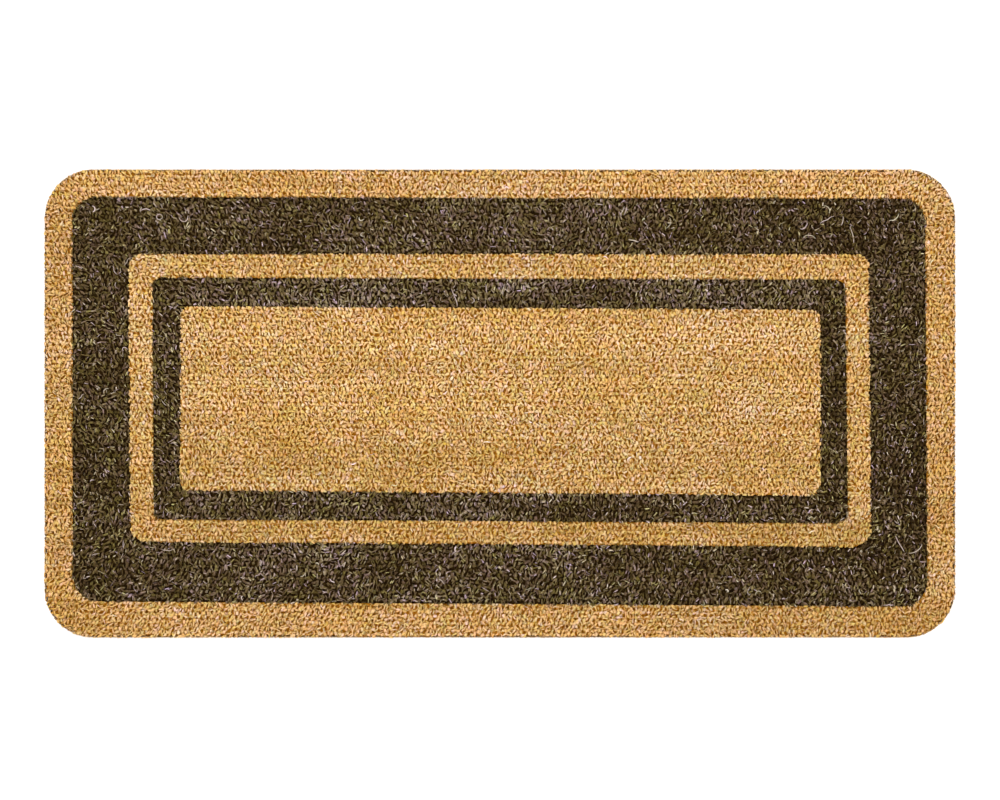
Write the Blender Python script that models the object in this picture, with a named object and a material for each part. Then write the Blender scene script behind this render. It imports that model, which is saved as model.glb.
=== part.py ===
"""Door mat: a cut coir mat with rounded corners on a vinyl backing sheet, its
pile dyed with a wide and a narrow dark frame.  Metres, +Z up, origin at the
middle of the underside, +X along the length, +Y across the width."""
import bpy
import math

# ---------------------------------------------------------------- dimensions
MAT_LENGTH = 0.9144          # 36 in, along X
MAT_WIDTH = 0.4695           # along Y
CORNER_RADIUS = 0.0485       # die-cut corners
BACKING_THICKNESS = 0.0025   # vinyl sheet that the fibres stand in
MAT_THICKNESS = 0.0150       # backing and pile together
GAP = 0.0003                 # between neighbouring solids

# The dyed frames.  Each border is four nearly straight lines: where the line
# crosses the mat's axis, and its tilt (rise over run), because the dye was
# laid on a little askew to the cut outline.  Radii run top left, top right,
# bottom right, bottom left.
WIDE_OUTER = dict(
    left=-0.4295, right=0.4287, top=0.2067, bottom=-0.2017,
    tilt_left=-0.0005, tilt_right=-0.0055, tilt_top=-0.0021, tilt_bottom=-0.0063,
    radii=(0.0240, 0.0235, 0.0260, 0.0265))
WIDE_INNER = dict(
    left=-0.3720, right=0.3717, top=0.1499, bottom=-0.1415,
    tilt_left=-0.0070, tilt_right=-0.0080, tilt_top=-0.0010, tilt_bottom=-0.0074,
    radii=(0.0150, 0.0120, 0.0190, 0.0155))
NARROW_OUTER = dict(
    left=-0.3487, right=0.3488, top=0.1255, bottom=-0.1184,
    tilt_left=-0.0043, tilt_right=-0.0114, tilt_top=-0.0032, tilt_bottom=-0.0056,
    radii=(0.0090, 0.0100, 0.0135, 0.0085))
NARROW_INNER = dict(
    left=-0.3209, right=0.3220, top=0.0957, bottom=-0.0898,
    tilt_left=0.0030, tilt_right=0.0010, tilt_top=-0.0056, tilt_bottom=-0.0082,
    radii=(0.0085, 0.0100, 0.0120, 0.0090))
OUTLINE = dict(
    left=-MAT_LENGTH / 2, right=MAT_LENGTH / 2, top=MAT_WIDTH / 2, bottom=-MAT_WIDTH / 2,
    tilt_left=0.0, tilt_right=0.0, tilt_top=0.0, tilt_bottom=0.0,
    radii=(CORNER_RADIUS,) * 4)

PILE_BOTTOM = BACKING_THICKNESS + GAP
PILE_TOP = MAT_THICKNESS


# ------------------------------------------------------------------ outlines
def corner(side, level):
    """Where an upright side line meets a level line of a border."""
    # side: x = sx + st * y      level: y = ly + lt * x
    (sx, st), (ly, lt) = side, level
    y = (ly + lt * sx) / (1.0 - lt * st)
    return sx + st * y, y


def border(spec, grow=0.0, steps=6):
    """Points of a rounded four-sided border, anticlockwise, grown by grow."""
    left = (spec["left"] - grow, spec["tilt_left"])
    right = (spec["right"] + grow, spec["tilt_right"])
    top = (spec["top"] + grow, spec["tilt_top"])
    bottom = (spec["bottom"] - grow, spec["tilt_bottom"])
    r_tl, r_tr, r_br, r_bl = (max(r + grow, 0.001) for r in spec["radii"])
    knots = [
        (corner(right, top), r_tr), (corner(left, top), r_tl),
        (corner(left, bottom), r_bl), (corner(right, bottom), r_br)]
    points = []
    for i, (here, radius) in enumerate(knots):
        before, after = knots[i - 1][0], knots[(i + 1) % 4][0]
        u = unit(before[0] - here[0], before[1] - here[1])
        v = unit(after[0] - here[0], after[1] - here[1])
        half = math.acos(u[0] * v[0] + u[1] * v[1]) / 2
        w = unit(u[0] + v[0], u[1] + v[1])
        centre = (here[0] + w[0] * radius / math.sin(half),
                  here[1] + w[1] * radius / math.sin(half))
        reach = radius / math.tan(half)
        a = math.atan2(here[1] + u[1] * reach - centre[1], here[0] + u[0] * reach - centre[0])
        b = math.atan2(here[1] + v[1] * reach - centre[1], here[0] + v[0] * reach - centre[0])
        if b < a:
            b += 2 * math.pi
        for k in range(steps + 1):
            t = a + (b - a) * k / steps
            points.append((centre[0] + radius * math.cos(t), centre[1] + radius * math.sin(t)))
    return points


def unit(x, y):
    d = math.hypot(x, y)
    return x / d, y / d


# ----------------------------------------------------------------- materials
def material(name, colour, roughness):
    mat = bpy.data.materials.new(name)
    mat.use_nodes = True
    shader = mat.node_tree.nodes["Principled BSDF"]
    shader.inputs["Base Color"].default_value = (*colour, 1.0)
    shader.inputs["Roughness"].default_value = roughness
    shader.inputs["Metallic"].default_value = 0.0
    mat.diffuse_color = (*colour, 1.0)
    return mat


# -------------------------------------------------------------------- solids
def slab(name, collection, loops, z_low, z_high, mat):
    """A flat outline, with or without an inner loop, as thick as z_low..z_high."""
    curve = bpy.data.curves.new(name, "CURVE")
    curve.dimensions = "2D"
    curve.fill_mode = "BOTH"
    curve.extrude = (z_high - z_low) / 2
    for loop in loops:
        spline = curve.splines.new("POLY")
        spline.points.add(len(loop) - 1)
        for point, (x, y) in zip(spline.points, loop):
            point.co = (x, y, 0.0, 1.0)
        spline.use_cyclic_u = True
    obj = bpy.data.objects.new(name, curve)
    obj.location = (0.0, 0.0, (z_low + z_high) / 2)
    collection.objects.link(obj)
    weld = obj.modifiers.new("Weld", "WELD")
    weld.merge_threshold = 0.00005
    curve.materials.append(mat)
    return obj


# --------------------------------------------------------------------- build
for old in list(bpy.data.objects):
    bpy.data.objects.remove(old, do_unlink=True)

scene = bpy.context.scene
scene.unit_settings.system = "METRIC"
scene.unit_settings.scale_length = 1.0

mat_collection = bpy.data.collections.new("door_mat")
scene.collection.children.link(mat_collection)

root = bpy.data.objects.new("door_mat_origin", None)
mat_collection.objects.link(root)

vinyl = material("vinyl_backing", (0.045, 0.040, 0.034), 0.60)
natural_outer = material("coir_natural_outer", (0.510, 0.297, 0.122), 0.90)
natural_line = material("coir_natural_line", (0.558, 0.327, 0.132), 0.90)
natural_field = material("coir_natural_field", (0.561, 0.324, 0.129), 0.90)
dyed_wide = material("coir_dyed_wide", (0.090, 0.062, 0.033), 0.85)
dyed_narrow = material("coir_dyed_narrow", (0.106, 0.073, 0.038), 0.85)

half = GAP / 2
parts = [
    # the sheet under everything, cut with the pile in one stroke
    slab("backing_sheet", mat_collection,
         [border(OUTLINE, steps=14)], 0.0, BACKING_THICKNESS, vinyl),
    # undyed margin around the wide frame
    slab("pile_outer_margin", mat_collection,
         [border(OUTLINE, steps=14), border(WIDE_OUTER, half)],
         PILE_BOTTOM, PILE_TOP, natural_outer),
    # wide dyed frame
    slab("pile_wide_frame", mat_collection,
         [border(WIDE_OUTER, -half), border(WIDE_INNER, half)],
         PILE_BOTTOM, PILE_TOP, dyed_wide),
    # undyed line between the two frames
    slab("pile_natural_line", mat_collection,
         [border(WIDE_INNER, -half), border(NARROW_OUTER, half)],
         PILE_BOTTOM, PILE_TOP, natural_line),
    # narrow dyed frame
    slab("pile_narrow_frame", mat_collection,
         [border(NARROW_OUTER, -half), border(NARROW_INNER, half)],
         PILE_BOTTOM, PILE_TOP, dyed_narrow),
    # undyed field
    slab("pile_centre_field", mat_collection,
         [border(NARROW_INNER, -half)], PILE_BOTTOM, PILE_TOP, natural_field),
]
for part in parts:
    part.parent = root
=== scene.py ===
"""Looks of the coir door mat: a vinyl backing sheet and a cut pile of separate
coconut fibres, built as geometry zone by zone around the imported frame."""
import math

import bpy
import bmesh
import numpy as np
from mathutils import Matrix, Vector


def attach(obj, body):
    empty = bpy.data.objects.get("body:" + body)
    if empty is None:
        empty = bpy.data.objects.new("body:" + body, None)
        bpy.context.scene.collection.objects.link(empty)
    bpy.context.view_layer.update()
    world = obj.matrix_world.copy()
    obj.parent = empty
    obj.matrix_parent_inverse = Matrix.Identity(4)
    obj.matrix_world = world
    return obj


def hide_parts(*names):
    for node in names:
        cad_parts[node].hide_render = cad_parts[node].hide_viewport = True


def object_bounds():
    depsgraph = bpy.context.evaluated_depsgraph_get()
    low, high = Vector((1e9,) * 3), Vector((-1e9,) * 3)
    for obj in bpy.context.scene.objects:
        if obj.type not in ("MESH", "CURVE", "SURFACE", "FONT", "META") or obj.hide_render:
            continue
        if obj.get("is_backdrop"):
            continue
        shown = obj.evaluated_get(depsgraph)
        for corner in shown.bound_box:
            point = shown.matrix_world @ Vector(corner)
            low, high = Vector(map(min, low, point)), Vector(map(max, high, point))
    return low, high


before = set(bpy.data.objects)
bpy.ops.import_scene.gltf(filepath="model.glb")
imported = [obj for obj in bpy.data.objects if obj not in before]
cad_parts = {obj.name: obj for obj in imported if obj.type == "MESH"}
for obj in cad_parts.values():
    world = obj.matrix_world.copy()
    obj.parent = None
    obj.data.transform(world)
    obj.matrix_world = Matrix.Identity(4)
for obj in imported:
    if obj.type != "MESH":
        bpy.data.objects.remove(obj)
cad_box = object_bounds()

# ------------------------------------------------------------------ sizes
# The same outline and dyed borders as the CAD part, in metres.
LENGTH, WIDTH, CORNER = 0.9144, 0.4695, 0.0485
BACK_T, TOP_Z = 0.0025, 0.0150
OUTLINE = dict(left=-LENGTH / 2, right=LENGTH / 2, top=WIDTH / 2, bottom=-WIDTH / 2,
               tl=0.0, tr=0.0, tt=0.0, tb=0.0, radii=(CORNER,) * 4)
WIDE_OUT = dict(left=-0.4295, right=0.4287, top=0.2067, bottom=-0.2017,
                tl=-0.0005, tr=-0.0055, tt=-0.0021, tb=-0.0063,
                radii=(0.0240, 0.0235, 0.0260, 0.0265))
WIDE_IN = dict(left=-0.3720, right=0.3717, top=0.1499, bottom=-0.1415,
               tl=-0.0070, tr=-0.0080, tt=-0.0010, tb=-0.0074,
               radii=(0.0150, 0.0120, 0.0190, 0.0155))
NARROW_OUT = dict(left=-0.3487, right=0.3488, top=0.1255, bottom=-0.1184,
                  tl=-0.0043, tr=-0.0114, tt=-0.0032, tb=-0.0056,
                  radii=(0.0090, 0.0100, 0.0135, 0.0085))
NARROW_IN = dict(left=-0.3209, right=0.3220, top=0.0957, bottom=-0.0898,
                 tl=0.0030, tr=0.0010, tt=-0.0056, tb=-0.0082,
                 radii=(0.0085, 0.0100, 0.0120, 0.0090))
BORDERS = [OUTLINE, WIDE_OUT, WIDE_IN, NARROW_OUT, NARROW_IN]
ZONES = ["outer_margin", "wide_frame", "natural_line", "narrow_frame", "centre_field"]
DYED = {1, 3}


def sd(border, x, y):
    """Signed distance to a border, negative inside."""
    dl = (border["left"] + border["tl"] * y) - x
    dr = x - (border["right"] + border["tr"] * y)
    dt = y - (border["top"] + border["tt"] * x)
    db = (border["bottom"] + border["tb"] * x) - y
    dx, dy = np.maximum(dl, dr), np.maximum(dt, db)
    r_tl, r_tr, r_br, r_bl = border["radii"]
    r = np.where(dl > dr, np.where(dt > db, r_tl, r_bl), np.where(dt > db, r_tr, r_br))
    qx, qy = dx + r, dy + r
    return np.minimum(np.maximum(qx, qy), 0) + np.hypot(np.maximum(qx, 0), np.maximum(qy, 0)) - r


def sd_grad(border, x, y, e=2e-5):
    gx = (sd(border, x + e, y) - sd(border, x - e, y)) / (2 * e)
    gy = (sd(border, x, y + e) - sd(border, x, y - e)) / (2 * e)
    n = np.hypot(gx, gy) + 1e-9
    return gx / n, gy / n


def zone_of(x, y):
    z = np.zeros(np.shape(x), int)
    for b in BORDERS[1:]:
        z += sd(b, x, y) < 0
    return z


# ------------------------------------------------------------------ noise
class Field:
    """Smooth random field over the mat, values about -1 to 1."""

    def __init__(self, seed, pitch_x, pitch_y=None):
        self.px, self.py = pitch_x, pitch_y or pitch_x
        rng = np.random.default_rng(seed)
        self.v = rng.uniform(-1, 1, (int(1.0 / self.py) + 4, int(1.4 / self.px) + 4))

    def __call__(self, x, y):
        fx, fy = (x + 0.7) / self.px, (y + 0.5) / self.py
        i, j = np.floor(fx).astype(int), np.floor(fy).astype(int)
        s, t = fx - i, fy - j
        s, t = s * s * (3 - 2 * s), t * t * (3 - 2 * t)
        i = np.clip(i, 0, self.v.shape[1] - 2)
        j = np.clip(j, 0, self.v.shape[0] - 2)
        a = self.v[j, i] * (1 - s) + self.v[j, i + 1] * s
        b = self.v[j + 1, i] * (1 - s) + self.v[j + 1, i + 1] * s
        return a * (1 - t) + b * t


# ------------------------------------------------------------ camera, stage
cam_data = bpy.data.cameras.new("camera")
cam_data.type = "PERSP"
cam_data.sensor_width = 36.0
cam_data.lens = 100.0
cam_data.clip_start, cam_data.clip_end = 0.05, 60.0
cam = bpy.data.objects.new("camera", cam_data)
bpy.context.scene.collection.objects.link(cam)
FRAME_W = 1.00346                      # metres across the picture at the pile's top
cam.location = (0.00014, 0.00355, TOP_Z + FRAME_W * cam_data.lens / cam_data.sensor_width)
cam.rotation_euler = (0.0, 0.0, 0.0)
bpy.context.scene.camera = cam

bpy.ops.mesh.primitive_plane_add(size=24.0, location=(0, 0, -0.0002))
floor = bpy.context.object
floor.name = "floor"
floor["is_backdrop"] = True


def light(name, where, target, size, power, colour=(1, 1, 1), size_y=None):
    d = bpy.data.lights.new(name, "AREA")
    d.shape = "RECTANGLE"
    d.size, d.size_y = size, size_y or size
    d.energy = power
    d.color = colour
    o = bpy.data.objects.new(name, d)
    o.location = where
    o.rotation_euler = (Vector(target) - Vector(where)).to_track_quat("-Z", "Y").to_euler()
    bpy.context.scene.collection.objects.link(o)
    return o


KEY_W, FILL_W, WORLD = 46.0, 20.0, 1.84
light("key", (-1.5, 1.9, 2.4), (0, 0, 0), 1.1, KEY_W, (1.0, 0.99, 0.97))
light("fill", (1.9, -1.3, 2.2), (0, 0, 0), 1.8, FILL_W, (0.97, 0.98, 1.0))

world = bpy.data.worlds.new("studio")
bpy.context.scene.world = world
world.use_nodes = True
world.node_tree.nodes["Background"].inputs["Color"].default_value = (1, 1, 1, 1)
world.node_tree.nodes["Background"].inputs["Strength"].default_value = WORLD
bpy.context.scene.view_settings.view_transform = "Standard"
bpy.context.scene.view_settings.look = "None"


# -------------------------------------------------------------- materials
def new_material(name):
    m = bpy.data.materials.new(name)
    m.use_nodes = True
    nt = m.node_tree
    return m, nt, nt.nodes["Principled BSDF"]


def ramp(nt, stops):
    n = nt.nodes.new("ShaderNodeValToRGB")
    n.color_ramp.elements[0].position, n.color_ramp.elements[0].color = stops[0][0], (*stops[0][1], 1)
    n.color_ramp.elements[1].position, n.color_ramp.elements[1].color = stops[-1][0], (*stops[-1][1], 1)
    for p, c in stops[1:-1]:
        e = n.color_ramp.elements.new(p)
        e.color = (*c, 1)
    return n


def noise(nt, scale, detail=3.0, coords=None, rough=0.5):
    n = nt.nodes.new("ShaderNodeTexNoise")
    n.inputs["Scale"].default_value = scale
    n.inputs["Detail"].default_value = detail
    n.inputs["Roughness"].default_value = rough
    if coords is not None:
        nt.links.new(coords, n.inputs["Vector"])
    return n


def math_node(nt, op, a, b=None, c=None, clamp=False):
    n = nt.nodes.new("ShaderNodeMath")
    n.operation = op
    n.use_clamp = clamp
    for i, v in enumerate((a, b, c)):
        if v is None:
            continue
        if isinstance(v, (int, float)):
            n.inputs[i].default_value = v
        else:
            nt.links.new(v, n.inputs[i])
    return n.outputs[0]


def map_range(nt, v, a, b, c, d):
    n = nt.nodes.new("ShaderNodeMapRange")
    nt.links.new(v, n.inputs["Value"])
    for k, x in zip(("From Min", "From Max", "To Min", "To Max"), (a, b, c, d)):
        n.inputs[k].default_value = x
    return n.outputs["Result"]


def scale_colour(nt, colour, value):
    n = nt.nodes.new("ShaderNodeVectorMath")
    n.operation = "SCALE"
    nt.links.new(colour, n.inputs[0])
    nt.links.new(value, n.inputs["Scale"])
    return n.outputs[0]


def object_coords(nt, stretch=(1, 1, 1)):
    t = nt.nodes.new("ShaderNodeTexCoord")
    m = nt.nodes.new("ShaderNodeMapping")
    m.inputs["Scale"].default_value = stretch
    nt.links.new(t.outputs["Object"], m.inputs["Vector"])
    return m.outputs["Vector"]


def fibre_material(name, stops, root_shade_tint, roughness, specular, patches, spots,
                   hues=((0.92, 1.02, 0.76), (1.06, 0.955, 1.22)), broad=0.35):
    """Coir fibre: tone by fibre, blotches across the mat, painted shade towards its root deep in the pile and a touch
    of painted light at its tip.
    """
    m, nt, bsdf = new_material(name)
    att = nt.nodes.new("ShaderNodeAttribute")
    att.attribute_type = "GEOMETRY"
    att.attribute_name = "fibre"
    sep = nt.nodes.new("ShaderNodeSeparateXYZ")
    nt.links.new(att.outputs["Vector"], sep.inputs[0])
    tone, along, other = sep.outputs

    obj = object_coords(nt)
    fleck = noise(nt, 900.0, 2.0, obj)                      # 1 mm flecks along a fibre
    big = noise(nt, 14.0, 2.0, object_coords(nt, (0.45, 1.6, 1.0)))   # tonal streaks along the mat
    t = math_node(nt, "MULTIPLY_ADD", fleck.outputs["Fac"], spots, tone)
    t = math_node(nt, "ADD", t, -0.5 * spots)
    t = math_node(nt, "MULTIPLY_ADD", big.outputs["Fac"], patches, t)
    t = math_node(nt, "ADD", t, -0.5 * patches, clamp=True)
    r = ramp(nt, stops)
    nt.links.new(t, r.inputs["Fac"])
    # painted shade: each fibre darkens towards its root, down in the pile where shade falls, and its tip is painted a
    # little lighter
    root_shade_tip_light = ramp(nt, [(0.0, root_shade_tint), (0.42, tuple(0.35 * c + 0.55 for c in root_shade_tint)), (0.55, (0.97, 0.97, 0.97)), (1.0, (1.04, 1.04, 1.04))])
    nt.links.new(along, root_shade_tip_light.inputs["Fac"])
    mul = nt.nodes.new("ShaderNodeVectorMath")
    mul.operation = "MULTIPLY"
    nt.links.new(r.outputs["Color"], mul.inputs[0])
    nt.links.new(root_shade_tip_light.outputs["Color"], mul.inputs[1])
    # hue from pinkish to olive, by tuft and in patches
    patch = noise(nt, 110.0, 1.0, obj)
    h = math_node(nt, "MULTIPLY_ADD", patch.outputs["Fac"], 0.9, other)
    wide = noise(nt, 38.0, 1.0, obj)
    h = math_node(nt, "MULTIPLY_ADD", wide.outputs["Fac"], broad, h)
    h = math_node(nt, "ADD", h, -0.45 - 0.5 * broad, clamp=True)
    tint = ramp(nt, [(0.0, hues[0]), (0.5, (1, 1, 1)), (1.0, hues[1])])
    nt.links.new(h, tint.inputs["Fac"])
    hued = nt.nodes.new("ShaderNodeVectorMath")
    hued.operation = "MULTIPLY"
    nt.links.new(mul.outputs[0], hued.inputs[0])
    nt.links.new(tint.outputs["Color"], hued.inputs[1])
    # the shade attribute darkens the undyed fibre: its own streaks, and painted shade lower on the mat
    dark = nt.nodes.new("ShaderNodeAttribute")
    dark.attribute_type = "GEOMETRY"
    dark.attribute_name = "shade"
    shaded = nt.nodes.new("ShaderNodeVectorMath")
    shaded.operation = "SCALE"
    nt.links.new(hued.outputs[0], shaded.inputs[0])
    nt.links.new(dark.outputs["Fac"], shaded.inputs["Scale"])
    nt.links.new(shaded.outputs[0], bsdf.inputs["Base Color"])
    rough = map_range(nt, fleck.outputs["Fac"], 0.3, 0.7, roughness - 0.08, roughness + 0.08)
    nt.links.new(rough, bsdf.inputs["Roughness"])
    bsdf.inputs["Specular IOR Level"].default_value = specular
    return m


NATURAL = [(0.0, (0.43, 0.210, 0.020)), (0.25, (0.555, 0.322, 0.075)), (0.50, (0.598, 0.384, 0.145)),
           (0.75, (0.630, 0.466, 0.285)), (1.0, (0.70, 0.60, 0.50))]
# dyed fibre colours; the grey upper stops are partly fibres that took less dye and partly painted sheen on the dark
# fibre
DYED_AND_PAINTED_SHEEN = [(0.0, (0.016, 0.006, 0.0006)), (0.30, (0.062, 0.037, 0.009)), (0.60, (0.130, 0.087, 0.037)),
             (0.82, (0.26, 0.195, 0.125)), (1.0, (0.52, 0.43, 0.35))]

# the third colour given to each is the painted shade at the fibre's root
coir_natural = fibre_material("coir_natural_fibre", NATURAL, (0.86, 0.52, 0.17), 0.70, 0.12, 0.26, 0.06)
coir_cut = fibre_material("coir_cut_edge_fibre", NATURAL, (0.60, 0.47, 0.33), 0.75, 0.12, 0.26, 0.06)
coir_dyed = fibre_material("coir_dyed_fibre", DYED_AND_PAINTED_SHEEN, (0.32, 0.17, 0.04), 0.60, 0.12, 0.26, 0.20,
                            ((0.93, 1.02, 0.50), (1.03, 0.92, 1.50)), 0.6)
coir_loose = fibre_material("coir_loose_fibre",
                            [(0.0, (0.16, 0.12, 0.085)), (0.5, (0.32, 0.26, 0.205)), (1.0, (0.55, 0.47, 0.39))],
                            (0.85, 0.80, 0.75), 0.50, 0.40, 0.1, 0.30)


def bed_material(name, stops):
    """The dense mass of fibres between and under the standing ones, coloured darker and browner than they are as
    painted shade in the gaps between the tufts.
    """
    m, nt, bsdf = new_material(name)
    obj = object_coords(nt)
    clump = noise(nt, 260.0, 3.0, obj, 0.6)
    strand = noise(nt, 1100.0, 2.0, object_coords(nt, (1.0, 0.35, 1.0)))
    v = math_node(nt, "MULTIPLY_ADD", strand.outputs["Fac"], 0.6, clump.outputs["Fac"])
    v = map_range(nt, v, 0.55, 1.05, 0.0, 1.0)
    r = ramp(nt, stops)
    nt.links.new(v, r.inputs["Fac"])
    nt.links.new(r.outputs["Color"], bsdf.inputs["Base Color"])
    nt.links.new(map_range(nt, strand.outputs["Fac"], 0.3, 0.7, 0.72, 0.92), bsdf.inputs["Roughness"])
    bump = nt.nodes.new("ShaderNodeBump")
    bump.inputs["Strength"].default_value = 0.5
    bump.inputs["Distance"].default_value = 0.0006
    nt.links.new(strand.outputs["Fac"], bump.inputs["Height"])
    nt.links.new(bump.outputs["Normal"], bsdf.inputs["Normal"])
    bsdf.inputs["Specular IOR Level"].default_value = 0.06
    return m


# painted shade: the bed shows only down in the gaps, so its colours are darker and more saturated than the fibres'
bed_natural = bed_material("coir_natural_bed",
                           [(0.0, (0.25, 0.068, 0.003)), (0.5, (0.57, 0.220, 0.012)), (1.0, (0.73, 0.385, 0.050))])
bed_dyed = bed_material("coir_dyed_bed",
                        [(0.0, (0.006, 0.0015, 0.0001)), (0.5, (0.027, 0.012, 0.0012)), (1.0, (0.062, 0.036, 0.008))])


def vinyl_material():
    """Sheet cast on a belt: the belt's fine weave pressed in, small pits, paler scuffed patches."""
    m, nt, bsdf = new_material("vinyl_sheet")
    obj = object_coords(nt)
    mottle = noise(nt, 34.0, 5.0, obj, 0.62)
    scuff = noise(nt, 9.0, 6.0, object_coords(nt, (0.35, 1.7, 1.0)), 0.7)
    pits = nt.nodes.new("ShaderNodeTexVoronoi")
    pits.inputs["Scale"].default_value = 210.0
    nt.links.new(obj, pits.inputs["Vector"])
    sep = nt.nodes.new("ShaderNodeSeparateXYZ")
    nt.links.new(obj, sep.inputs[0])
    wave = [math_node(nt, "SINE", math_node(nt, "MULTIPLY", sep.outputs[i], 2 * math.pi / 0.0032)) for i in (0, 1)]
    weave = math_node(nt, "MULTIPLY", wave[0], wave[1])
    fine = noise(nt, 1400.0, 2.0, obj)
    v = math_node(nt, "MULTIPLY_ADD", scuff.outputs["Fac"], 0.8, mottle.outputs["Fac"])
    v = math_node(nt, "MULTIPLY_ADD", weave, 0.04, v)
    v = map_range(nt, v, 0.62, 1.18, 0.0, 1.0)
    r = ramp(nt, [(0.0, (0.015, 0.012, 0.010)), (0.5, (0.030, 0.026, 0.022)), (0.8, (0.050, 0.044, 0.037)),
                  (1.0, (0.090, 0.081, 0.070))])
    nt.links.new(v, r.inputs["Fac"])
    nt.links.new(r.outputs["Color"], bsdf.inputs["Base Color"])
    nt.links.new(map_range(nt, v, 0.0, 1.0, 0.46, 0.74), bsdf.inputs["Roughness"])
    pit = map_range(nt, pits.outputs["Distance"], 0.0, 0.25, -1.0, 0.0)
    h = math_node(nt, "MULTIPLY_ADD", weave, 0.5, math_node(nt, "MULTIPLY_ADD", fine.outputs["Fac"], 0.4, pit))
    bump = nt.nodes.new("ShaderNodeBump")
    bump.inputs["Strength"].default_value = 0.6
    bump.inputs["Distance"].default_value = 0.0004
    nt.links.new(h, bump.inputs["Height"])
    nt.links.new(bump.outputs["Normal"], bsdf.inputs["Normal"])
    bsdf.inputs["Specular IOR Level"].default_value = 0.35
    return m


vinyl = vinyl_material()

floor_mat, nt, bsdf = new_material("floor_pale")
bsdf.inputs["Base Color"].default_value = (0.80, 0.80, 0.80, 1)
bsdf.inputs["Roughness"].default_value = 0.9
bsdf.inputs["Specular IOR Level"].default_value = 0.1
floor.data.materials.append(floor_mat)


# ------------------------------------------------------------- mesh makers
def link(mesh, name, mat, replaces=()):
    mesh.materials.append(mat)
    obj = bpy.data.objects.new(name, mesh)
    bpy.context.scene.collection.objects.link(obj)
    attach(obj, "root")
    if replaces:
        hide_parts(*replaces)
    return obj


def fibres_mesh(name, path, radius, attr, sides=3, seed=0):
    """Closed tubes. radius (n, k) at k ring centres; path (n, k, 3) for cut ends, or (n, k + 1, 3) for
    pointed ones, the tip last; attr (n, 2 or 3): tone, a second random number and how dark. Adds the
    fibre and shade attributes and a bake map with a cell a fibre."""
    n, k = radius.shape
    blunt = path.shape[1] == k
    rng = np.random.default_rng(seed)
    tang = np.empty((n, k, 3))
    tang[:, 0] = path[:, 1] - path[:, 0]
    for i in range(1, k):
        tang[:, i] = path[:, min(i + 1, path.shape[1] - 1)] - path[:, i - 1]
    tang /= np.linalg.norm(tang, axis=2, keepdims=True) + 1e-12
    phi = rng.uniform(0, 2 * np.pi, n)
    ref = np.stack([np.cos(phi), np.sin(phi), np.full(n, 0.35)], 1)[:, None, :]
    s = np.cross(tang, ref)
    s /= np.linalg.norm(s, axis=2, keepdims=True) + 1e-12
    u = np.cross(tang, s)
    ang = 2 * np.pi * np.arange(sides) / sides
    ring = (path[:, :k, None, :]
            + radius[:, :, None, None] * (np.cos(ang)[None, None, :, None] * s[:, :, None, :]
                                          + np.sin(ang)[None, None, :, None] * u[:, :, None, :]))
    per = k * sides + (0 if blunt else 1)
    co = ring.reshape(n, k * sides, 3)
    co = (co if blunt else np.concatenate([co, path[:, k:k + 1]], 1)).reshape(-1, 3)
    # faces of one fibre, then offset for each
    faces, uvs = [], []
    length = [0.12 + (0.76 if blunt else 0.88) * (i / (k - 1 if blunt else k)) for i in range(k + 1)]
    for i in range(k - 1):
        for j in range(sides):
            a, b = i * sides + j, i * sides + (j + 1) % sides
            faces.append((a, b, b + sides, a + sides))
            uvs.append(((j / sides, length[i]), ((j + 1) / sides, length[i]),
                        ((j + 1) / sides, length[i + 1]), (j / sides, length[i + 1])))
    ring_uv = [(0.5 + 0.5 * math.cos(2 * math.pi * q / sides), 0.05 + 0.05 * math.sin(2 * math.pi * q / sides))
               for q in range(sides)]
    if blunt:
        faces.append(tuple((k - 1) * sides + j for j in range(sides)))
        uvs.append(tuple((p[0], p[1] + 0.90) for p in ring_uv))
    else:
        for j in range(sides):
            a, b = (k - 1) * sides + j, (k - 1) * sides + (j + 1) % sides
            faces.append((a, b, k * sides))
            uvs.append(((j / sides, length[k - 1]), ((j + 1) / sides, length[k - 1]), ((j + 0.5) / sides, 1.0)))
    faces.append(tuple(range(sides - 1, -1, -1)))
    uvs.append(tuple(ring_uv))
    counts = np.array([len(f) for f in faces])
    loops = np.array([v for f in faces for v in f])
    uv = np.array([p for f in uvs for p in f])
    all_loops = (np.arange(n)[:, None] * per + loops[None, :]).reshape(-1)
    starts = (np.arange(n)[:, None] * len(loops) + np.r_[0, np.cumsum(counts)[:-1]][None, :]).reshape(-1)
    mesh = bpy.data.meshes.new(name)
    mesh.vertices.add(len(co))
    mesh.vertices.foreach_set("co", co.astype(np.float32).ravel())
    mesh.loops.add(len(all_loops))
    mesh.loops.foreach_set("vertex_index", all_loops.astype(np.int32))
    mesh.polygons.add(len(starts))
    mesh.polygons.foreach_set("loop_start", starts.astype(np.int32))
    mesh.polygons.foreach_set("use_smooth", np.ones(len(starts), bool))
    g = int(math.ceil(math.sqrt(n)))
    cell = np.stack([np.arange(n) % g, np.arange(n) // g], 1)
    fit = 0.04 + 0.92 * uv
    uv_all = ((cell[:, None, :] + fit[None, :, :]) / g).reshape(-1, 2)
    layer = mesh.uv_layers.new(name="OFBake")
    layer.data.foreach_set("uv", uv_all.astype(np.float32).ravel())
    a = np.empty((n, per, 3), np.float32)
    a[:, :, 0] = attr[:, 0:1]
    a[:, :, 2] = attr[:, 1:2]
    al = np.repeat(np.arange(k) / (k - 1 if blunt else k), sides)
    al = al if blunt else np.concatenate([al, [1.0]])
    a[:, :, 1] = al[None, :]
    at = mesh.attributes.new("fibre", "FLOAT_VECTOR", "POINT")
    at.data.foreach_set("vector", a.ravel())
    dark = attr[:, 2] if attr.shape[1] > 2 else np.ones(n)
    at = mesh.attributes.new("shade", "FLOAT", "POINT")
    at.data.foreach_set("value", np.repeat(dark, per).astype(np.float32))
    mesh.update(calc_edges=True)
    mesh.validate()
    return mesh


# ------------------------------------------------------------------- bed
PITCH = 0.0024


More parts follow.
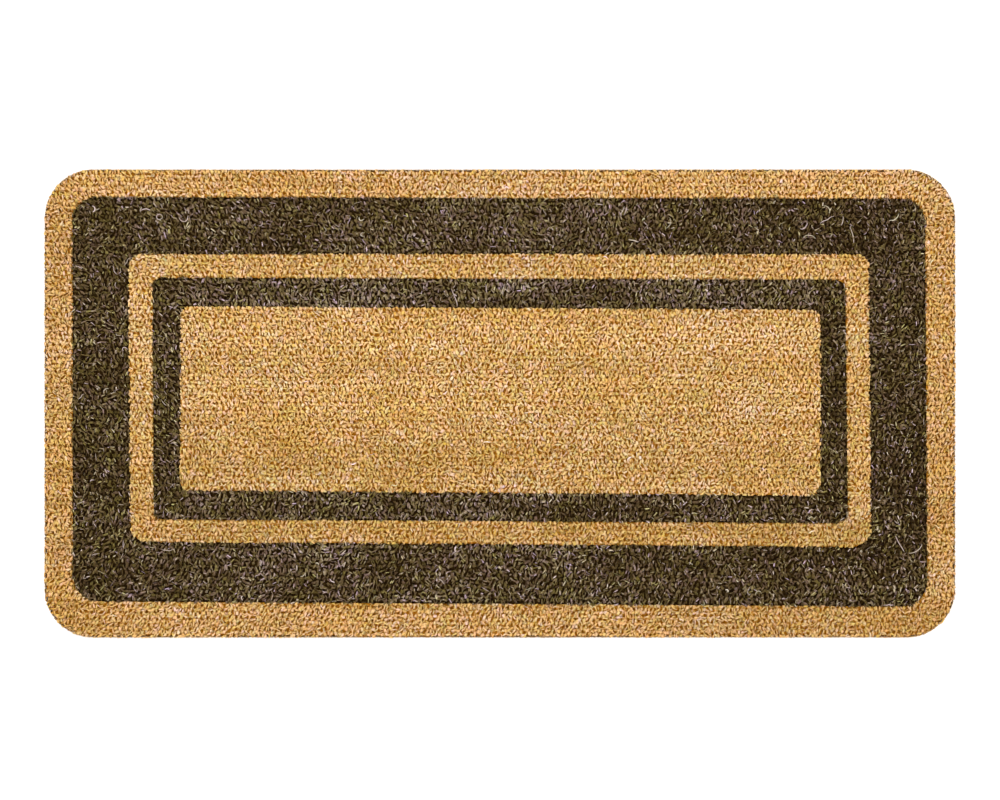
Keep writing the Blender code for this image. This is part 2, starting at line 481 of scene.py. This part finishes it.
def bed_mesh(zone, inset):
    """A closed lump under one zone's fibres, with a granular top."""
    outer, inner = BORDERS[zone], BORDERS[zone + 1] if zone + 1 < len(BORDERS) else None
    nx, ny = int(LENGTH / PITCH) + 4, int(WIDTH / PITCH) + 4
    gx = (np.arange(nx + 1) - nx / 2) * PITCH
    gy = (np.arange(ny + 1) - ny / 2) * PITCH
    cx, cy = np.meshgrid((gx[:-1] + gx[1:]) / 2, (gy[:-1] + gy[1:]) / 2)
    inside = sd(outer, cx, cy) < -inset
    if inner is not None:
        inside &= sd(inner, cx, cy) > 0
    jj, ii = np.nonzero(inside)
    w = nx + 1
    quad = np.stack([jj * w + ii, jj * w + ii + 1, (jj + 1) * w + ii + 1, (jj + 1) * w + ii], 1)
    touch = np.zeros((ny + 1, nx + 1), int)
    for dj in (0, 1):
        for di in (0, 1):
            np.add.at(touch, (jj + dj, ii + di), 1)
    used = np.unique(quad)
    rim = (touch.ravel()[used] < 4)
    vx, vy = np.meshgrid(gx, gy)
    x, y = vx.ravel()[used].copy(), vy.ravel()[used].copy()
    rng = np.random.default_rng(50 + zone)
    d_out = sd(outer, x, y) + inset
    d_in = sd(inner, x, y) if inner is not None else np.full(len(x), 1.0)
    to_out = rim & (np.abs(d_out) < np.abs(d_in))
    to_in = rim & ~to_out
    for _ in range(2):
        px, py = sd_grad(outer, x, y)
        d = sd(outer, x, y) + inset + 0.00015
        x, y = np.where(to_out, x - px * d, x), np.where(to_out, y - py * d, y)
        if inner is not None:
            px, py = sd_grad(inner, x, y)
            d = sd(inner, x, y) - 0.00015
            x, y = np.where(to_in, x - px * d, x), np.where(to_in, y - py * d, y)
    jig = 0.0006
    x = np.where(rim, x, x + rng.uniform(-jig, jig, len(x)))
    y = np.where(rim, y, y + rng.uniform(-jig, jig, len(x)))
    z = 0.0084 + rng.uniform(-0.0012, 0.0012, len(x)) + 0.0005 * Field(9, 0.012)(x, y)
    remap = np.full(w * (ny + 1), -1)
    remap[used] = np.arange(len(used))
    quad = remap[quad]
    bm = bmesh.new()
    verts = [bm.verts.new(c) for c in zip(x, y, z)]
    bm.verts.ensure_lookup_table()
    for q in quad:
        bm.faces.new([verts[i] for i in q])
    top_faces = len(bm.faces)
    rim_edges = [e for e in bm.edges if len(e.link_faces) == 1]
    ext = bmesh.ops.extrude_edge_only(bm, edges=rim_edges)["geom"]
    low = [v for v in ext if isinstance(v, bmesh.types.BMVert)]
    for v in low:
        v.co.z = BACK_T + 0.0001
    low_edges = [e for e in ext if isinstance(e, bmesh.types.BMEdge) and all(abs(v.co.z - BACK_T - 0.0001) < 1e-6 for v in e.verts)]
    bmesh.ops.triangle_fill(bm, use_beauty=False, use_dissolve=False, edges=low_edges)
    bmesh.ops.recalc_face_normals(bm, faces=bm.faces)
    lay = bm.loops.layers.uv.new("OFBake")
    k = 0.93 / LENGTH
    bm.faces.index_update()
    n_wall = 0
    for f in bm.faces:
        if f.index < top_faces:
            for l in f.loops:
                l[lay].uv = (0.01 + (l.vert.co.x + LENGTH / 2) * k, 0.005 + (l.vert.co.y + WIDTH / 2) * k)
        elif len(f.verts) == 3:
            for l in f.loops:
                l[lay].uv = (0.01 + (l.vert.co.x + LENGTH / 2) * k, 0.487 + (l.vert.co.y + WIDTH / 2) * k)
        else:
            n_wall += 1
    per_row = math.ceil(n_wall / 2)
    q = 0
    for f in bm.faces:
        if f.index >= top_faces and len(f.verts) == 4:
            row, col = divmod(q, per_row)
            u0, u1 = col / per_row, (col + 0.9) / per_row
            v0 = 0.972 + row * 0.014
            zs = [l.vert.co.z for l in f.loops]
            mid = (max(zs) + min(zs)) / 2
            first = True
            seen = []
            for l in f.loops:
                hi = l.vert.co.z > mid
                key = (round(l.vert.co.x, 6), round(l.vert.co.y, 6))
                if key not in seen:
                    seen.append(key)
                l[lay].uv = (u0 if seen.index(key) == 0 else u1, v0 + (0.011 if hi else 0.0))
            q += 1
    mesh = bpy.data.meshes.new("bed_" + ZONES[zone])
    bm.to_mesh(mesh)
    bm.free()
    mesh.polygons.foreach_set("use_smooth", np.ones(len(mesh.polygons), bool))
    return mesh


for z, zone in enumerate(ZONES):
    obj = link(bed_mesh(z, 0.0012 if z == 0 else 0.0), "pile_bed_" + zone,
               bed_dyed if z in DYED else bed_natural,
               ["pile_" + zone])

# ------------------------------------------------------------ pile fibres
flow_a = Field(101, 0.045)
flow_b = Field(102, 0.045)
flow_c = Field(103, 0.014)
flow_d = Field(104, 0.014)
height_f = Field(105, 0.030)
tone_f = Field(106, 0.060, 0.035)
streak_a = Field(211, 0.50, 0.0130)              # long streaks, from one batch of fibre to the next
streak_b = Field(212, 0.15, 0.0090)
mottle = Field(213, 0.022, 0.0110)
wander = Field(214, 0.110, 0.070)


def row_drift(x, y):
    """The rows of tufts run a little askew to the cut outline, and not quite straight."""
    return 0.0013 * wander(x, y) - 0.004 * x


def keep_inside(x, y, limit, border):
    """Pulls points back that reach further than limit past a border."""
    d = sd(border, x, y)
    gx, gy = sd_grad(border, x, y)
    over = np.maximum(d - limit, 0)
    return x - gx * over, y - gy * over


def hold_zone(path, zone):
    """Keeps a fibre's points within a fibre's breadth of its own dyed zone, as the dye was laid on from above."""
    for i in range(path.shape[1]):
        x, y = path[:, i, 0], path[:, i, 1]
        for b in range(1, len(BORDERS)):
            inside = zone >= b
            d = sd(BORDERS[b], x, y)
            gx, gy = sd_grad(BORDERS[b], x, y)
            over = np.where(inside, np.maximum(d - 0.0004, 0), np.minimum(d + 0.0004, 0))
            x, y = x - gx * over, y - gy * over
        x, y = keep_inside(x, y, 0.0003, OUTLINE)
        path[:, i, 0], path[:, i, 1] = x, y
    return path


# tuft spacing along and across, fibres a tuft, their length over the surface and its spread, half the
# tuft's width, fibre radius, and how much the tone differs within a tuft
TUFTS = {False: (0.0036, 0.0037, 4, 0.0033, 0.20, (0.0007, 0.0010), 0.00059, 0.02),      # undyed
         True: (0.0037, 0.0037, 5, 0.0036, 0.22, (0.0007, 0.0011), 0.00048, 0.09)}       # dyed

# The way the pile leans, as the picture of the stroke direction in degrees: it fans across the mat.
LEAN_X = (-0.45, -0.20, 0.0, 0.20, 0.45)
LEAN_Y = (-0.21, -0.05, 0.21)
LEAN = ((52.0, 62.0, 68.0, 74.0, 76.0), (116.0, 104.0, 92.0, 84.0, 76.0), (127.0, 117.0, 100.0, 84.0, 70.0))


def lean_angle(x, y):
    rows = [np.interp(x, LEAN_X, r) for r in LEAN]
    low = rows[0] + (rows[1] - rows[0]) * np.clip((y - LEAN_Y[0]) / (LEAN_Y[1] - LEAN_Y[0]), 0, 1)
    t = np.clip((y - LEAN_Y[1]) / (LEAN_Y[2] - LEAN_Y[1]), 0, 1)
    return np.radians(low + (rows[2] - rows[1]) * t)


# streaks along the field, paler and browner: where across the mat, and by how much
STREAK_Y = (-0.090, -0.080, -0.067, -0.047, -0.036, -0.026, -0.018, -0.009, -0.002, 0.008, 0.021, 0.030, 0.038,
            0.047, 0.060, 0.078, 0.090)
STREAK = (0.07, 0.00, -0.15, -0.12, 0.00, -0.02, -0.10, 0.04, 0.13, 0.03, 0.14, -0.03, -0.10, 0.00, 0.11, 0.12, 0.06)


def past(v, start, soft):
    """0 up to start, 1 from start + soft."""
    return np.clip((v - start) / soft, 0, 1)


def batch_tone_and_painted_shade(x, y, zone):
    """How much paler or browner the undyed fibre is from place to place: its own tone in streaks and mottle along the
    mat, painted shade lower down and towards the lower right where the light falls off, and darker at its edges."""
    v = y - row_drift(x, y)
    # painted shade: darker lower down and to the lower right, where the light falls off across the mat
    s = np.interp(y, (-0.22, -0.13, -0.08, 0.0, 0.08, 0.14, 0.22), (-0.03, -0.08, -0.05, 0.02, 0.05, 0.01, 0.02))
    s = s - 0.06 * past(x, 0.12, 0.3) * past(-y, 0.0, 0.12) - np.where((zone == 0) & (y < 0.2), 0.03, 0.0)
    s = s + np.where(zone == 4, np.interp(v, STREAK_Y, STREAK), 0.10 * streak_a(x, v))
    s = s + 0.07 * streak_b(x, v) + 0.12 * mottle(x, v)
    s = s - np.where(zone == 0, 0.12 * past(-x, 0.42, 0.02) * past(y, -0.03, 0.06)
                     + (0.09 + 0.13 * past(x, 0.15, 0.08)) * past(-y, 0.19, 0.02)
                     + 0.07 * past(np.abs(x), 0.42, 0.02), 0.0)
    s = s - np.where(zone == 2, (0.12 + 0.10 * past(x, 0.05, 0.2)) * past(-y, 0.112, 0.01), 0.0)
    return np.where((zone == 1) | (zone == 3), 0.0, s)


def tone_shift(x, y, zone):
    """Slow change of tone over the mat: darker to the right and lower down on the dyed zones, and on the undyed ones a
    share of the streaks and painted shade above.
    """
    v = y - row_drift(x, y)
    dyed = np.interp(x, (-0.45, -0.30, 0.0, 0.25, 0.35, 0.45), (-0.04, 0.0, 0.03, 0.0, -0.08, -0.05))
    dyed = dyed + np.where(zone == 3, 0.055, -0.03) + 0.07 * streak_b(x, v) + 0.08 * mottle(x, v)
    dyed = dyed + np.where(zone == 3, 0.04 * past(y, 0.09, 0.01) - 0.10 * past(-x, 0.315, 0.01)
                           - 0.10 * past(x, 0.315, 0.01) - 0.08 * past(x, 0.0, 0.1) * past(-y, 0.08, 0.02),
                           0.08 * past(x, 0.36, 0.02) * past(y, 0.06, 0.06)
                           - 0.08 * past(x, 0.36, 0.02) * past(-y, 0.01, 0.04) * past(y, -0.15, 0.03)
                           + 0.05 * past(-x, -0.05, 0.2) * past(-y, 0.13, 0.02)
                           - 0.04 * past(x, 0.05, 0.2) * past(-y, 0.13, 0.02))
    return np.where((zone == 1) | (zone == 3), dyed, 0.25 * batch_tone_and_painted_shade(x, y, zone))


def shade(x, y, zone):
    """The part of that change, streaks and painted shade, that only darkens the fibre and leaves its hue."""
    return np.exp(0.435 * batch_tone_and_painted_shade(x, y, zone))


PIT_X, PIT_Y = 0.0057, 0.0062


def part_around_pits(path):
    """The pile isn't even: small pits stand open all over it, and the fibres part around each one."""
    rng = np.random.default_rng(808)
    ni, nj = int(LENGTH / PIT_X) + 8, int(WIDTH / PIT_Y) + 8
    jit = rng.uniform(-0.22, 0.22, (nj, ni, 2)) * (PIT_X, PIT_Y)
    wide = rng.uniform(0.0007, 0.0014, (nj, ni)) * (rng.random((nj, ni)) < 0.88)
    drift = np.stack([np.zeros(len(path)), row_drift(path[:, -1, 0], path[:, -1, 1])], 1)
    for _ in range(2):
        a, b = path[:, -2, :2] - drift, path[:, -1, :2] - drift
        mid = (a + b) / 2
        j0 = np.round(mid[:, 1] / PIT_Y).astype(int)
        move = np.zeros_like(mid)
        for dj in (-1, 0, 1):
            j = j0 + dj
            i0 = np.round(mid[:, 0] / PIT_X - 0.5 * (j % 2)).astype(int)
            for di in (-1, 0, 1):
                i = i0 + di
                q = (np.clip(j + nj // 2, 0, nj - 1), np.clip(i + ni // 2, 0, ni - 1))
                c = np.stack([(i + 0.5 * (j % 2)) * PIT_X, j * PIT_Y], 1) + jit[q]
                ab = b - a
                t = np.clip(((c - a) * ab).sum(1) / ((ab ** 2).sum(1) + 1e-12), 0, 1)
                near = a + ab * t[:, None] - c
                near = near * (1.0, 0.75)                                # the pits are taller than wide
                d = np.hypot(near[:, 0], near[:, 1]) + 1e-9
                push = np.maximum(wide[q] + 0.0004 - d, 0) * (wide[q] > 0)
                move += near / d[:, None] * push[:, None]
        path[:, :, :2] += np.clip(move, -0.0016, 0.0016)[:, None, :]
    return path


def tufts(rng, dyed):
    """Tufts of a few fibres each, bent over together near the cut height. Gives path, tone, radius, zone."""
    pitch, row, per, length, spread, wide, thick, mixed = TUFTS[dyed]
    nx, ny = int(LENGTH / pitch) + 4, int(WIDTH / row) + 4
    gx, gy = np.meshgrid((np.arange(nx) - nx / 2 + 0.5) * pitch, (np.arange(ny) - ny / 2 + 0.5) * row)
    gx = gx + ((np.arange(ny) % 2) - 0.5)[:, None] * pitch * 0.5
    gy = gy + row_drift(gx, gy)
    cx = gx.ravel() + rng.uniform(-0.26, 0.26, gx.size) * pitch
    cy = gy.ravel() + rng.uniform(-0.30, 0.30, gx.size) * row
    zone = zone_of(cx, cy)
    own = (np.isin(zone, list(DYED)) == dyed) & (sd(OUTLINE, cx, cy) < -0.0004)
    cx, cy, zone = cx[own], cy[own], zone[own]
    m = len(cx)
    flow = np.arctan2(flow_a(cx, cy) + 0.5 * flow_c(cx, cy), flow_b(cx, cy) + 0.5 * flow_d(cx, cy))
    theta = np.where(rng.random(m) < 0.25, flow,
                     lean_angle(cx, cy) + np.pi * (rng.random(m) < 0.5) + rng.normal(0, 0.62, m))
    size = np.clip(rng.normal(length, spread * length, m), 0.4 * length, 1.7 * length)
    half = rng.uniform(*wide, m)
    high, tone = rng.normal(0, 1, m), rng.normal(0, 1, m)
    bend = rng.normal(0, 0.0007, m)
    idx = np.repeat(np.arange(m), per)
    slot = np.tile(np.linspace(-1, 1, per), m)
    idx_keep = rng.random(len(idx)) < 0.93
    idx, slot = idx[idx_keep], slot[idx_keep]
    n = len(idx)
    th = theta[idx] + rng.normal(0, 0.10, n)
    ex, ey = np.cos(th), np.sin(th)
    w = slot * half[idx] + rng.normal(0, 0.00010, n)
    s = rng.normal(0, 0.00040, n)
    L = size[idx] * rng.uniform(0.85, 1.12, n)
    path = np.empty((n, 3, 3))
    for i, (f, fan, bow) in enumerate(((-0.50, 0.8, 0.0), (-0.38, 0.95, 0.6), (0.52, 1.10, 0.0))):
        d = f * L + s
        o = w * fan + bend[idx] * bow
        path[:, i, 0] = cx[idx] + ex * d - ey * o
        path[:, i, 1] = cy[idx] + ey * d + ex * o
    crest = 0.0139 + 0.00045 * high[idx] + rng.normal(0, 0.00014, n) - 0.0004 * slot ** 2
    path[:, 0, 2] = 0.0064
    path[:, 1, 2] = np.clip(crest, 0.0122, 0.0152)
    path[:, 2, 2] = np.clip(crest + 0.0006 * rng.normal(0, 1, m)[idx] + rng.normal(-0.0002, 0.00035, n), 0.0112, 0.0158)
    t = 0.10 * tone[idx] + rng.normal(0, mixed, n) + 0.08 * tone_f(cx[idx], cy[idx])
    if dyed:                                        # the dye took less evenly to the right and low down
        t = t * (0.95 + 0.25 * np.clip((cx[idx] - 0.25) / 0.1, 0, 1) + 0.15 * np.clip(-cy[idx] / 0.1, 0, 1))
    t = t + 0.50
    r = np.clip(rng.normal(thick, 0.13 * thick, n), 0.6 * thick, 1.3 * thick)
    hue = np.clip(0.5 + 0.22 * rng.normal(0, 1, m)[idx] + rng.normal(0, 0.08, n), 0, 1)
    return path, t, r, zone[idx], hue


def under(rng):
    """Fibres bent over lower down in the undyed pile, which close the gaps between its tufts."""
    pitch = 0.0025
    nx, ny = int(LENGTH / pitch) + 4, int(WIDTH / pitch) + 4
    gx, gy = np.meshgrid((np.arange(nx) - nx / 2) * pitch, (np.arange(ny) - ny / 2) * pitch)
    x = gx.ravel() + rng.uniform(-0.5, 0.5, gx.size) * pitch
    y = gy.ravel() + rng.uniform(-0.5, 0.5, gx.size) * pitch
    zone = zone_of(x, y)
    own = ~np.isin(zone, list(DYED)) & (sd(OUTLINE, x, y) < -0.0014)
    x, y, zone = x[own], y[own], zone[own]
    n = len(x)
    th = lean_angle(x, y) + rng.normal(0, 0.9, n)
    reach = rng.uniform(0.0019, 0.0027, n)
    path = np.empty((n, 2, 3))
    for i, side in enumerate((-1, 1)):
        path[:, i, 0] = x + side * reach * np.cos(th)
        path[:, i, 1] = y + side * reach * np.sin(th)
        path[:, i, 2] = 0.0121 + rng.normal(0, 0.0004, n) + side * rng.normal(0, 0.0004, n)
    path = hold_zone(part_around_pits(path), zone)
    # painted shade: the under fibres lie lower in the pile and get a darker tone than the tufts above
    t = 0.40 + rng.normal(0, 0.08, n) + tone_shift(x, y, zone)
    r = np.clip(rng.normal(0.00060, 0.00007, n), 0.0004, 0.0008)
    hue = np.clip(0.5 + rng.normal(0, 0.22, n), 0, 1)
    return (path, np.stack([r, r * 0.9], 1), np.stack([np.clip(t, 0, 1), hue, shade(x, y, zone)], 1), zone)


def singles(rng, q):
    """Finer fibres that lie across the tufts, most of them on the dyed zones."""
    x = rng.uniform(-LENGTH / 2, LENGTH / 2, q)
    y = rng.uniform(-WIDTH / 2, WIDTH / 2, q)
    az = rng.uniform(0, 2 * np.pi, q)
    reach = rng.gamma(4.0, 0.0011, q) + 0.001
    path = np.empty((q, 3, 3))
    for i, (f, bow) in enumerate(((0.0, 0.0), (0.45, 1.0), (1.0, 0.0))):
        o = rng.normal(0, 0.0005, q) * bow
        path[:, i, 0] = x + np.cos(az) * reach * f - np.sin(az) * o
        path[:, i, 1] = y + np.sin(az) * reach * f + np.cos(az) * o
    path[:, 0, 2] = 0.0075
    path[:, 1, 2] = 0.0142 + rng.normal(0, 0.0005, q)
    path[:, 2, 2] = 0.0146 + rng.normal(0, 0.0006, q)
    keep = (sd(OUTLINE, x, y) < -0.0004) & (np.isin(zone_of(x, y), list(DYED)) | (rng.random(q) < 0.35))
    path = path[keep]
    n = len(path)
    seen = path[:, 1, :2] * 0.5 + path[:, 2, :2] * 0.5
    return (path, 0.58 + rng.normal(0, 0.18, n), np.clip(rng.normal(0.00024, 0.00004, n), 0.00016, 0.0004),
            zone_of(seen[:, 0], seen[:, 1]), rng.random(n))


def pile():
    rng = np.random.default_rng(2024)
    groups = [tufts(rng, False), tufts(rng, True), singles(rng, 9000)]
    path, t, r, zone, hue = (np.concatenate([g[i] for g in groups]) for i in range(5))
    n = len(path)
    lone = np.arange(n) >= n - len(groups[2][0])
    path = hold_zone(part_around_pits(path), zone)
    t = t + tone_shift(path[:, 1, 0], path[:, 1, 1], zone)
    hue = hue + np.where(zone == 0, 0.14, 0.0)
    hue = hue - np.where(zone == 3, 0.12 * past(np.abs(path[:, 1, 0]), 0.315, 0.01), 0.0)
    hue = hue - np.where(zone == 1, 0.07 * past(-path[:, 1, 0], 0.36, 0.02), 0.0)
    # fibres that took less dye
    pale = np.isin(zone, list(DYED)) & (rng.random(n) < np.where(lone, 0.42, 0.06))
    t = np.where(pale, rng.uniform(0.76, 1.0, n), t)
    rad = np.stack([r, r * 1.03, r * rng.uniform(0.72, 0.95, n)], 1)
    dark = shade(path[:, 1, 0], path[:, 1, 1], zone)
    return path, rad, np.stack([np.clip(t, 0, 1), hue, dark], 1), zone


def split(n, limit):
    """How many pieces keep each under the limit."""
    return max(1, int(math.ceil(n / limit)))


pile_pieces = {z: [] for z in range(5)}
path, rad, attr, zone = pile()
total = 0
for z, zone_name in enumerate(ZONES):
    pick = np.nonzero(zone == z)[0]
    parts = split(len(pick), 14250)
    for q in range(parts):
        mine = pick[q::parts]
        name = f"pile_{zone_name}_fibres_{q + 1}"
        mesh = fibres_mesh(name, path[mine], rad[mine], attr[mine], seed=300 + z * 10 + q)
        obj = link(mesh, name, coir_dyed if z in DYED else coir_natural,
                   ["pile_" + zone_name])
        pile_pieces[z].append(obj)
        total += len(mine)
path, rad, attr, zone = under(np.random.default_rng(515))
for z, zone_name in enumerate(ZONES):
    pick = np.nonzero(zone == z)[0]
    if len(pick):
        name = f"pile_{zone_name}_under_fibres"
        link(fibres_mesh(name, path[pick], rad[pick], attr[pick], seed=400 + z), name,
             coir_natural, ["pile_" + zone_name])
        total += len(pick)
print("fibres", total)

# ------------------------------------------------------ cut edge of the pile
def rim_points(border, grow, count, rng, jitter=1.0):
    """Random places along a border, with the outward direction there."""
    pts = []
    r = border["radii"][0] + grow
    hx, hy = border["right"] + grow, border["top"] + grow
    sx, sy = 2 * (hx - r), 2 * (hy - r)
    arc = math.pi / 2 * r
    total = 2 * (sx + sy) + 4 * arc
    s = (np.arange(count) + jitter * rng.uniform(-0.5, 0.5, count)) / count * total % total
    x, y, nx, ny = (np.zeros(count) for _ in range(4))
    at = 0.0
    legs = [("l", (-hx + r, hy), (1, 0), (0, 1), sx), ("a", (hx - r, hy - r), 90, None, arc),
            ("l", (hx, hy - r), (0, -1), (1, 0), sy), ("a", (hx - r, -hy + r), 0, None, arc),
            ("l", (hx - r, -hy), (-1, 0), (0, -1), sx), ("a", (-hx + r, -hy + r), -90, None, arc),
            ("l", (-hx, -hy + r), (0, 1), (-1, 0), sy), ("a", (-hx + r, hy - r), 180, None, arc)]
    for kind, p, d, nn, ln in legs:
        m = (s >= at) & (s < at + ln)
        t = s[m] - at
        if kind == "l":
            x[m], y[m] = p[0] + d[0] * t, p[1] + d[1] * t
            nx[m], ny[m] = nn
        else:
            a = math.radians(d) - t / r
            x[m], y[m] = p[0] + r * np.cos(a), p[1] + r * np.sin(a)
            nx[m], ny[m] = np.cos(a), np.sin(a)
        at += ln
    return x, y, nx, ny


def edge_fibres():
    rng = np.random.default_rng(77)
    clump, sway = Field(78, 0.006), Field(79, 0.005)
    paths, rads, attrs = [], [], []
    for layer, (depth, count) in enumerate(((-0.0004, 6200), (0.0001, 5600), (0.0006, 3600))):
        x, y, nx, ny = rim_points(OUTLINE, -depth, count, rng)
        n = count
        lean = rng.normal(0, 0.0009, n) + 0.0014 * sway(x, y)      # along the edge, in clumps
        out = rng.normal(0.0000, 0.00025, n)
        k = 3
        t = (np.arange(k + 1) / k)[None, :]
        top = 0.0138 + rng.normal(0, 0.0006, n)
        bow = rng.normal(0, 0.0004, n)
        p = np.empty((n, k + 1, 3))
        along = lean[:, None] * t + bow[:, None] * np.sin(np.pi * t)
        off = out[:, None] * t - 0.0004 * t ** 3
        p[:, :, 0] = x[:, None] - ny[:, None] * along + nx[:, None] * off
        p[:, :, 1] = y[:, None] + nx[:, None] * along + ny[:, None] * off
        p[:, :, 2] = BACK_T - 0.0006 + (top - BACK_T + 0.0006)[:, None] * t
        for i in range(k + 1):
            p[:, i, 0], p[:, i, 1] = keep_inside(p[:, i, 0], p[:, i, 1], 0.0008, OUTLINE)
        r = np.clip(rng.normal(0.00029, 0.00006, n), 0.00016, 0.00045)
        paths.append(p)
        rads.append(np.stack([r, r, r * 0.9], 1))
        tone = np.clip(0.46 + rng.normal(0, 0.22, n) + 0.12 * clump(x, y), 0, 1)
        attrs.append(np.stack([tone, rng.random(n)], 1))
    return np.concatenate(paths), np.concatenate(rads), np.concatenate(attrs)


path, rad, attr = edge_fibres()
for q in range(2):
    name = f"cut_edge_fibres_{q + 1}"
    link(fibres_mesh(name, path[q::2], rad[q::2], attr[q::2], seed=5 + q), name,
         coir_cut, ["pile_outer_margin"])


# --------------------------------------------------------- loose curly fibres
def loose(rng, n, zones, placed=(), k=14):
    """Long fibres that lie on the pile, straight or in curls. placed: start x, y, direction and turn in
    degrees, and length of single ones."""
    x = rng.uniform(-LENGTH / 2 + 0.01, LENGTH / 2 - 0.01, n * 12)
    y = rng.uniform(-WIDTH / 2 + 0.01, WIDTH / 2 - 0.01, n * 12)
    ok = np.isin(zone_of(x, y), zones)
    x, y = x[ok][:n], y[ok][:n]
    n = len(x)
    length = rng.gamma(3.0, 0.0016, n) + 0.0025
    turn = rng.normal(0, 1.0, n) * 1.9
    az = rng.uniform(0, 2 * np.pi, n)
    if len(placed):
        one = np.array(placed)
        x, y = np.r_[x, one[:, 0]], np.r_[y, one[:, 1]]
        az, turn = np.r_[az, np.radians(one[:, 2])], np.r_[turn, np.radians(one[:, 3])]
        length = np.r_[length, one[:, 4]]
    few = np.arange(len(x)) >= n
    n = len(x)
    p = np.empty((n, k + 1, 3))
    px, py = x.copy(), y.copy()
    a = az.copy()
    wob = rng.normal(0, 1.0, (n, k + 1)) * np.where(few, 0.06, 0.28)[:, None]
    lift = rng.uniform(0.0002, 0.0012, n)
    for i in range(k + 1):
        p[:, i, 0], p[:, i, 1] = px, py
        t = i / k
        p[:, i, 2] = 0.0139 + lift * math.sin(math.pi * t) - 0.0016 * (abs(2 * t - 1) ** 4)
        px = px + np.cos(a) * length / k
        py = py + np.sin(a) * length / k
        a = a + turn / k * (0.66 + 0.53 * math.sin(math.pi * t)) + wob[:, i]
    r0 = np.where(few, 0.00048, np.clip(rng.normal(0.00040, 0.00010, n), 0.00022, 0.0007))
    taper = 1 - 0.55 * (np.abs(2 * np.arange(k) / k - 1) ** 3)
    rad = r0[:, None] * taper[None, :]
    for i in range(k + 1):
        p[:, i, 0], p[:, i, 1] = keep_inside(p[:, i, 0], p[:, i, 1], -0.0005, OUTLINE)
    own = few | np.isin(zone_of(p[:, :, 0], p[:, :, 1]), zones).all(axis=1)       # none lies across a border
    p, rad, few, n = p[own], rad[own], few[own], int(own.sum())
    tone = np.where(few, 0.52, np.clip(rng.normal(0.5, 0.25, n), 0, 1))
    return p, rad, np.stack([tone, rng.random(n)], 1)


CURLS = ((-0.3385, 0.1855, 95, 380, 0.021), (-0.3225, 0.1870, -60, 190, 0.016), (0.3240, 0.1985, 5, -125, 0.014),
         (0.3510, 0.1780, -60, -25, 0.019), (0.3445, 0.1890, -85, -15, 0.011), (0.3030, 0.1640, 60, -130, 0.018),
         (0.3965, -0.1310, -65, 15, 0.021), (0.4080, -0.1500, -5, 75, 0.021), (0.3180, -0.1010, -85, 20, 0.010),
         (0.1200, 0.1875, 62, 5, 0.012), (0.1245, 0.1890, 65, -5, 0.010), (0.0950, 0.2002, 0, 10, 0.009),
         (-0.0490, 0.1160, -68, 10, 0.020), (0.0000, 0.1080, 62, 8, 0.013), (-0.0140, 0.1200, -85, 10, 0.009))
rng = np.random.default_rng(606)
path, rad, attr = loose(rng, 130, [1, 3], CURLS)
obj = link(fibres_mesh("loose_fibres_on_dyed", path, rad, attr, sides=5, seed=6), "loose_fibres_on_dyed",
           coir_loose)
path, rad, attr = loose(rng, 110, [0, 2, 4])
attr[:, 0] = 0.55 + 0.45 * attr[:, 0]
obj = link(fibres_mesh("loose_fibres_on_natural", path, rad, attr, sides=5, seed=7), "loose_fibres_on_natural",
           coir_natural)


# ------------------------------------------------------------------ backing
def backing_mesh():
    """Vinyl sheet with a very slightly soft edge, cut with the pile."""
    bm = bmesh.new()
    rng = np.random.default_rng(31)
    n = 720
    x, y, nx, ny = rim_points(OUTLINE, 0.0, n, rng, 0.0)
    wave = 0.00012 * np.array([math.sin(i * 0.37) + math.sin(i * 0.113 + 1) for i in range(n)])
    levels = [(-0.0004, 0.0), (0.0, 0.0004), (0.0, 0.0021), (-0.0003, BACK_T)]
    rings = []
    for inset, z in levels:
        rings.append([bm.verts.new((x[i] + nx[i] * (inset - 0.0003 + wave[i]),
                                    y[i] + ny[i] * (inset - 0.0003 + wave[i]), z)) for i in range(n)])
    for a, b in zip(rings[:-1], rings[1:]):
        for i in range(n):
            j = (i + 1) % n
            bm.faces.new((a[i], b[i], b[j], a[j]))
    bm.faces.new(rings[0])
    bm.faces.new(list(reversed(rings[-1])))
    bmesh.ops.recalc_face_normals(bm, faces=bm.faces)
    mesh = bpy.data.meshes.new("vinyl_backing")
    bm.to_mesh(mesh)
    bm.free()
    return mesh


backing = link(backing_mesh(), "vinyl_backing", vinyl, ["backing_sheet"])

bpy.context.view_layer.update()
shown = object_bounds()


def plain(v):
    return [plain(q) for q in v] if hasattr(v, "__len__") else float(v)


{"cad": plain(cad_box), "visual": plain(shown)}
